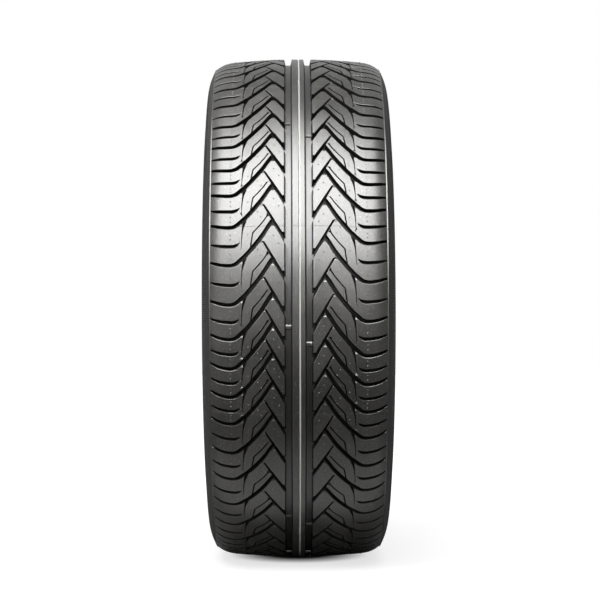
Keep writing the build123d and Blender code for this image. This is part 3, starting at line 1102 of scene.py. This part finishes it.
def shaded_groove_rubber():
    """Dull black in painted shade, faintly cloudy, with a little grain."""
    finish = cloudy_finish("groove rubber in painted shade", GROOVE_BLOOM, SHADED_GROOVE_BLACK, SHADED_GROOVE_PALE, GROOVE_ROUGHNESS)
    material, tree, shader, coordinates = finish
    shader["Specular IOR Level"].default_value = GROOVE_SPECULAR
    height = use_group(tree, grain, coordinates, Scale=TREAD_GRAIN)["Height"]
    tree.links.new(bumped(tree, height, TREAD_GRAIN_HEIGHT), shader["Normal"])
    return material


mesh.materials.append(shaded_groove_rubber())
print("finish of the grooves:", mesh.materials[SHADED_GROOVES].name)

# %% [markdown]
# Wear bars are low bridges across the ring grooves. When the tread is worn down to them, the tyre is done.
# They belong to the same moulding, but to weave them into the skin would cost many triangles on every
# pitch, so they are a row of small blocks that stand a little into the grooves' floor and walls. Each has a
# flat top and a ramp on its upper side, which both catch the light. Their other faces take the grooves'
# finish, whose darker colour is painted shade.

# %% Wear bars in the ring grooves
BAR_ANGLES = {
    1: (44.8, -3.8, -53.3, -104.0, -155.0, 154.0, 99.0),
    -1: (40.9, -7.4, -57.0, -107.5, -158.5, 150.5, 95.5),
}
# The section is (along, height above the floor). The last two tables go face by face through one bar.
BAR_SECTION = [(-3.4, -0.55), (-2.2, 1.1), (1.1, 1.1), (3.3, -0.55)]
BAR_INSET = 0.2
BAR_FACES = [[0, 1, 2, 3], [7, 6, 5, 4], [0, 4, 5, 1], [1, 5, 6, 2], [2, 6, 7, 3], [3, 7, 4, 0]]
# A 1 gives a face the grooves' finish with painted shade: the ends, the lower wall and the bottom.
BAR_FINISHES = [1, 1, 1, 0, 0, 1]


def wear_bars():
    """Vertices and faces of all bars: a section along the tread, carried straight across its ring groove."""
    floor = outer_radius - RING_DEPTH
    along, height = np.array(BAR_SECTION).T
    ends = np.repeat([RIB_HALF + BAR_INSET, RING_GROOVE_EDGE - BAR_INSET], len(BAR_SECTION))
    points = []
    for side, angles in BAR_ANGLES.items():
        turn = np.radians(np.array(angles))[:, None] + np.tile(along, 2) / outer_radius
        radius = np.tile(floor + height, 2 * len(angles))
        points.append(roll_up(np.tile(ends * side, len(angles)), turn.ravel(), radius))
    verts = np.vstack(points)
    firsts = np.arange(0, len(verts), len(ends))
    return verts, (np.array(BAR_FACES) + firsts[:, None, None]).reshape(-1, 4)


bar_verts, bar_faces = wear_bars()
bar_count = len(bar_faces) // len(BAR_FACES)
bar_mesh = bpy.data.meshes.new("wear_bars")
bar_mesh.from_pydata(bar_verts, [], bar_faces.tolist())
turn_outwards(bar_mesh)
for slot in (TREAD, SHADED_GROOVES):
    bar_mesh.materials.append(mesh.materials[slot])
bar_mesh.polygons.foreach_set("material_index", np.tile(BAR_FINISHES, bar_count).astype(np.int32))
bars = new_object("wear_bars", bar_mesh)
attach(bars, "root")
print(f"wear bars: {bar_count}, with {open_edges(bar_mesh)} open edges")

# %% [markdown]
# The tyre stands on a plain pale floor. More light would make it white, but would also wash out the rubber,
# so the floor glows only to rays that come straight from the camera, and less to mirror rays. The glow is
# weaker near the tyre and gone right beside the line of contact, so the real shadow shows there, deepened by
# painted shadow where the glow fades; mirror rays see the floor darker near the tyre, a painted shade.

# %% Pale floor
FLOOR_SIZE = 14.0
FLOOR_COLOUR = (0.42, 0.42, 0.42, 1)
FLOOR_ROUGHNESS = 0.9
WHITE = (1, 1, 1, 1)
# Ranges are distances from the middle of the tyre over which the glow grows; where it is low, it paints
# shadow.
FLOOR_GLOW = (0.7, 1.0)
GLOW_RANGE = (0.3, 1.2)
CONTACT_SHADOW_RANGE = (0.342, 0.353)
MIRROR_SHADE_RANGE = (0.36, 2.8)


def seen_directly(tree):
    """Two masks: rays from the camera or through glass, and mirror reflections. Both are 0 for the light
    that falls on things."""
    path = tree.nodes.new("ShaderNodeLightPath").outputs
    straight = math_node(tree, "MAXIMUM", path["Is Camera Ray"], path["Is Transmission Ray"])
    return straight, path["Is Glossy Ray"]


def pale_floor():
    """A large flat square under the tyre, whose glow grows away from the tyre's middle: painted shadow near
    it.
    """
    half, down = FLOOR_SIZE / 2, cad_low.z
    corners = [(-half, -half, down), (half, -half, down), (half, half, down), (-half, half, down)]
    square = bpy.data.meshes.new("floor")
    square.from_pydata(corners, [], [(0, 1, 2, 3)])
    material, tree, shader, coordinates = new_material("pale floor")
    shader["Base Color"].default_value = FLOOR_COLOUR
    shader["Roughness"].default_value = FLOOR_ROUGHNESS
    shader["Emission Color"].default_value = WHITE
    away = add_node(tree, "ShaderNodeVectorMath", [(0, coordinates)], operation="LENGTH").outputs["Value"]
    straight, mirrored = seen_directly(tree)
    # Painted shadow: the glow to the camera fades towards the tyre and is gone beside the line of contact.
    glow = math_node(tree, "MULTIPLY", ranged(tree, away, *GLOW_RANGE, *FLOOR_GLOW),
                     ranged(tree, away, *CONTACT_SHADOW_RANGE))
    to_camera = math_node(tree, "MULTIPLY", straight, glow)
    # Painted shade in reflections: mirror rays see less glow near the tyre.
    to_mirror = math_node(tree, "MULTIPLY", mirrored, ranged(tree, away, *MIRROR_SHADE_RANGE))
    tree.links.new(math_node(tree, "MAXIMUM", to_camera, to_mirror), shader["Emission Strength"])
    square.materials.append(material)
    return new_object("floor", square)


floor = pale_floor()
print(f"floor of {FLOOR_SIZE:.0f} m at a height of {cad_low.z:.3f} m")

# %% [markdown]
# The surroundings are white to the camera and to reflections, as in a studio lined with white card, and
# only a weak light otherwise, so that shadows stay dark. A white world at full strength would light the
# grooves from every side.

# %% White surroundings
AMBIENT = 0.15


def white_world():
    """White to all that looks straight at it, and a weak even light on the tyre."""
    world = bpy.data.worlds.new("studio")
    world.use_nodes = True
    tree = world.node_tree
    background = tree.nodes["Background"].inputs
    background["Color"].default_value = WHITE
    seen = math_node(tree, "MAXIMUM", *seen_directly(tree))
    tree.links.new(ranged(tree, seen, 0.0, 1.0, AMBIENT, 1.0), background["Strength"])
    return world


bpy.context.scene.world = white_world()
print("world:", bpy.context.scene.world.name)

# %% [markdown]
# One large soft lamp hangs in front and above, a little to the left, and lights the rubber at a plain
# level. A strip on the left picks out edges that face that way. The broad highlight over the upper tread is
# a mirror image of something bright, so two cards are seen in reflections only: a large one in front of the
# soft lamp, and a small one on the floor that fills the lower tread. More lamp power could give the same
# highlight, but would wash out the colour.

# %% Lamps and reflector cards
CARD_LIFT = 0.002
# Each lamp is its place, what it faces, its width and height, and its level.
LAMPS = {
    "key_softbox": ((-1.70, 0.34, 1.80), (-0.25, 0.0, 0.1), (2.0, 1.4), 6.0),
    "gloss_card": ((-1.52, 0.2, 1.74), (-0.25, 0.0, 0.1), (3.5, 2.4), 40.0),
    "low_card": ((-0.28, 0.0, cad_low.z + CARD_LIFT), (-0.28, 0.0, 1.0), (0.16, 0.5), 1.5),
    "left_strip": ((-1.3, 1.7, 0.25), (-0.25, 0.0, 0.0), (0.35, 1.5), 6.0),
}
CARDS = ("gloss_card", "low_card")


def soft_lamp(name, place, target, size, level):
    """A rectangular lamp at a place, facing a target. Its power is its level times pi times its area."""
    light = bpy.data.lights.new(name, "AREA")
    light.shape = "RECTANGLE"
    light.size, light.size_y = size
    light.energy = level * math.pi * size[0] * size[1]
    lamp = new_object(name, light)
    lamp.location = place
    lamp.rotation_euler = (Vector(target) - Vector(place)).to_track_quat("-Z", "Y").to_euler()
    return lamp


for name, settings in LAMPS.items():
    lamp = soft_lamp(name, *settings)
    lamp.visible_diffuse = name not in CARDS
print("lamps:", ", ".join(LAMPS))

# %% [markdown]
# The photograph looks straight at the rear of the tyre from a hair above axle height, through a long lens.
# The camera stands about eight and a half tyre radii from the axle. It could be set by eye, but the focal
# length in pixels gives the lens, and a small shift puts the tyre's middle where the photograph's frame has
# it.

# %% Camera
PHOTO_PIXELS = 600
FOCAL_PIXELS = 2105.0
TYRE_CENTRE = (297.9, 308.0)
SENSOR_WIDTH = 36.0
CAMERA_DISTANCE = 2.9
CAMERA_RISE = math.radians(0.2)
CAMERA_YAW = math.radians(0.22)
CAMERA_ROLL = math.radians(-0.146)

camera_data = bpy.data.cameras.new("camera")
camera_data.sensor_width = SENSOR_WIDTH
camera_data.lens = SENSOR_WIDTH * FOCAL_PIXELS / PHOTO_PIXELS
camera_data.shift_x = (PHOTO_PIXELS / 2 - TYRE_CENTRE[0]) / PHOTO_PIXELS
camera_data.shift_y = (TYRE_CENTRE[1] - PHOTO_PIXELS / 2) / PHOTO_PIXELS
camera = new_object("camera", camera_data)
across_floor = CAMERA_DISTANCE * math.cos(CAMERA_RISE)
camera.location = (-across_floor * math.cos(CAMERA_YAW), across_floor * math.sin(CAMERA_YAW),
                   CAMERA_DISTANCE * math.sin(CAMERA_RISE))
facing = (-camera.location).to_track_quat("-Z", "Y")
camera.rotation_euler = (facing @ Quaternion((0, 0, 1), CAMERA_ROLL)).to_euler()
bpy.context.scene.camera = camera
bpy.context.scene.view_settings.view_transform = "Standard"
print(f"lens {camera_data.lens:.1f} mm, shift {camera_data.shift_x:.4f}, {camera_data.shift_y:.4f}")
